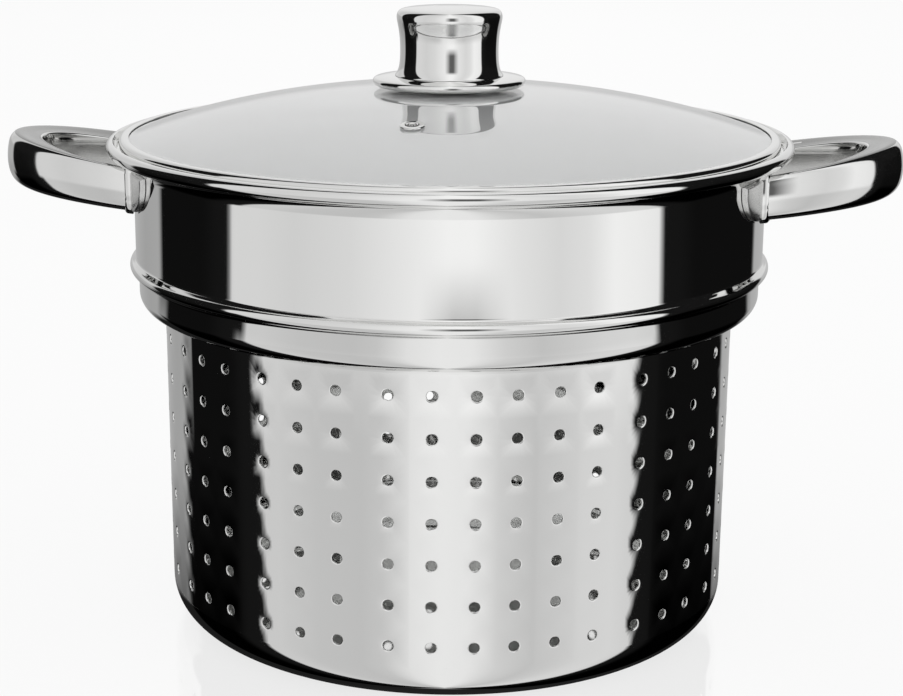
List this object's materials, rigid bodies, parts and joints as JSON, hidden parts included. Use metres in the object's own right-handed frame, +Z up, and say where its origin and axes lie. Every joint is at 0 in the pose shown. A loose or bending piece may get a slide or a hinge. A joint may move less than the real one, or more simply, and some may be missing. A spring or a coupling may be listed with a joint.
{
  "type": "pasta pot strainer insert with lid",
  "caption": "Polished steel pasta strainer insert with a plain collar, perforated tub, loop handles and a domed glass lid.",
  "frame": {"origin": "middle of the flat base, on the surface it stands on", "axes": "+Z up along the tub's axis, the two handles along X, the front with the steam vent towards -Y"},
  "size_m": [0.3424, 0.26, 0.2366],
  "materials": {
    "polished_steel": "mirror polished stainless steel",
    "tempered_glass": "clear and glossy",
    "silicone": "matte translucent grey",
    "screw_steel": "turned and satin"
  },
  "bodies": {
    "root": {"strainer_body": "polished_steel", "handle_right": "polished_steel", "handle_left": "polished_steel", "handle_plate_right": "polished_steel", "handle_plate_left": "polished_steel", "lid_band": "polished_steel", "lid_glass": "tempered_glass", "vent_eyelet": "polished_steel", "knob_shell": "polished_steel", "knob_skirt": "polished_steel", "knob_stud": "screw_steel", "knob_screw": "screw_steel", "knob_seal": "silicone", "under_seal": "silicone", "steel_washer": "screw_steel"}
  },
  "joints": []
}
